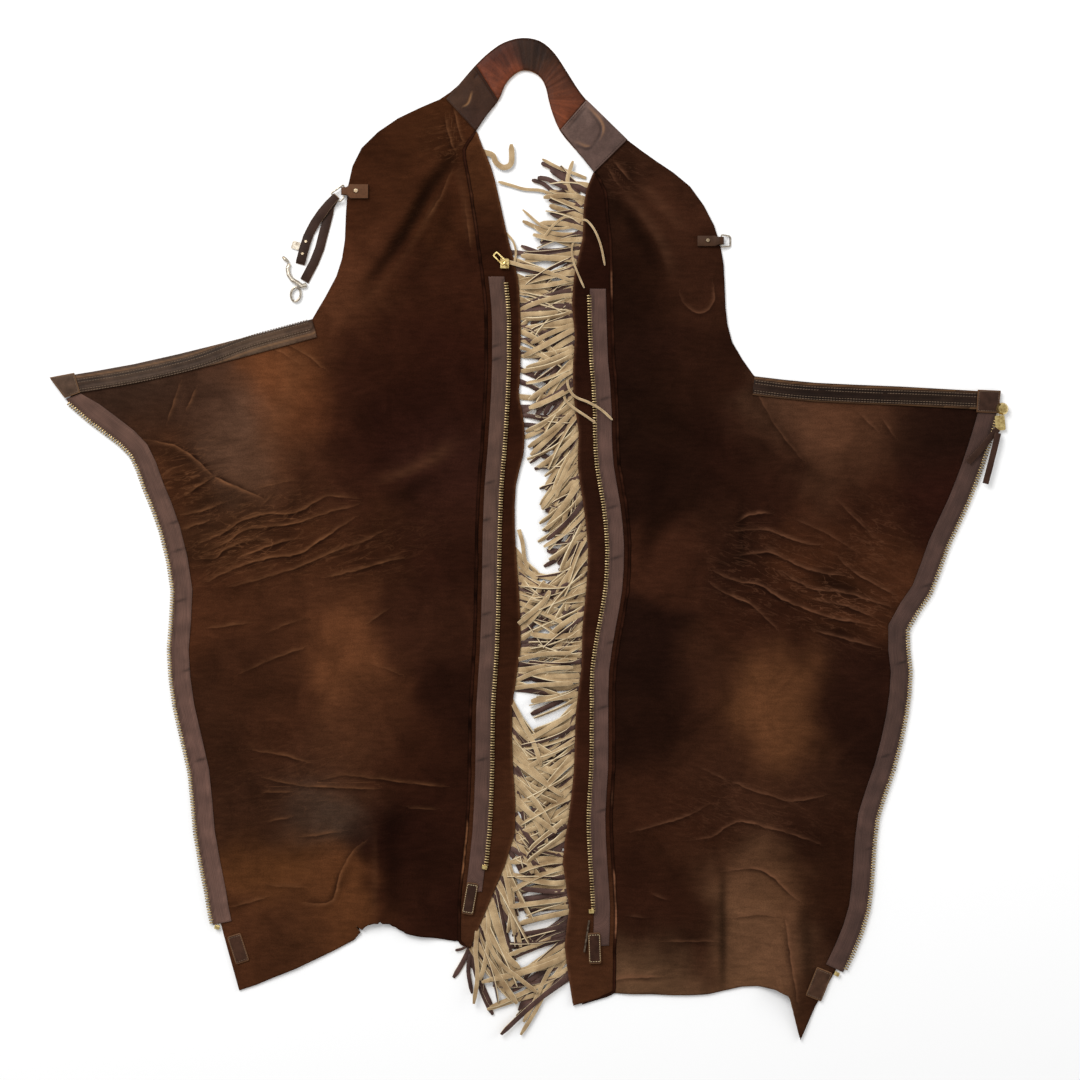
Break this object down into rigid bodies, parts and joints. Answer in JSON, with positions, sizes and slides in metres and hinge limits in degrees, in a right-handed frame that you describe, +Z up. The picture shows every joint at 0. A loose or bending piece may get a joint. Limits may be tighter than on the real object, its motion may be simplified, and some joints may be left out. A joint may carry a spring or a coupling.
{
  "type": "fringed leather chaps laid flat",
  "caption": "Fringed suede chaps opened out flat, flesh side up: curved belt, legs with thigh wings, inner and outer zips, a closure strap and a trigger snap.",
  "frame": {"origin": "centre of the laid-out garment's outline, on the surface that it lies on", "axes": "+Z up from the surface, +Y from the hems to the belt, +X from the wearer's right leg to the left leg (flesh side up)"},
  "size_m": [1.0246, 1.072, 0.0157],
  "materials": {
    "suede": "brushed suede, flesh side, dark brown with worn lighter patches",
    "fringe_suede": "cut suede strips, tan edges, brown faces",
    "rust_leather": "smooth, satin, rust brown",
    "dark_leather": "smooth, satin, dark brown",
    "mauve_leather": "smooth, matt, grey brown",
    "zip_tape": "woven twill tape",
    "brass": "aged brass",
    "pale_metal": "worn nickel"
  },
  "bodies": {
    "garment": {"band_end_l": "mauve_leather", "band_end_r": "mauve_leather", "belt_lining": "rust_leather", "belt_outer": "dark_leather", "belt_patch_l": "dark_leather", "belt_patch_r": "mauve_leather", "closure_strap": "dark_leather", "fringe_l": "fringe_suede", "fringe_r": "fringe_suede", "leg_panel_l": "suede", "leg_panel_r": "suede", "placket_l": "suede", "placket_r": "suede", "pull_tab_r": "brass", "pull_thong_1": "dark_leather", "pull_thong_2": "dark_leather", "ring_l": "pale_metal", "ring_rivet_l": "pale_metal", "ring_rivet_r": "pale_metal", "ring_tab_l": "mauve_leather", "ring_tab_r": "mauve_leather", "slider_l": "brass", "slider_r": "brass", "snap_body": "pale_metal", "snap_jaw": "pale_metal", "strap_keeper": "dark_leather", "strap_rivet_1": "pale_metal", "strap_rivet_2": "pale_metal", "strap_slide": "pale_metal", "thigh_band_l": "mauve_leather", "thigh_band_r": "mauve_leather", "zip_end_inner_l": "mauve_leather", "zip_end_inner_r": "mauve_leather", "zip_end_outer_l": "mauve_leather", "zip_end_outer_r": "mauve_leather", "zip_pin_r": "brass", "zip_stop_inner_l": "brass", "zip_stop_inner_r": "brass", "zip_stop_outer_l": "brass", "zip_stop_outer_r": "brass", "zip_tape_inner_l": "zip_tape", "zip_tape_inner_r": "zip_tape", "zip_tape_outer_l": "zip_tape", "zip_tape_outer_r": "zip_tape"},
    "pull": {"pull_tab_l": "brass"},
    "loose_ring": {"ring_r": "pale_metal"},
    "snap_trigger": {"snap_lever": "pale_metal"}
  },
  "joints": [
    {"name": "left_pull_hinge", "type": "hinge", "parent": "garment", "child": "pull", "pos_m": [-0.02735, 0.29435, 0.0083], "axis": [0.7071, 0.7071, 0], "range_deg": [0, 110]},
    {"name": "loose_ring_hinge", "type": "hinge", "parent": "garment", "child": "loose_ring", "pos_m": [0.2045, 0.3185, 0.005], "axis": [0, -1, 0], "range_deg": [0, 120]},
    {"name": "snap_trigger_hinge", "type": "hinge", "parent": "garment", "child": "snap_trigger", "pos_m": [-0.2582, 0.2962, 0.0026], "axis": [0, 0, 1], "range_deg": [0, 20]}
  ]
}
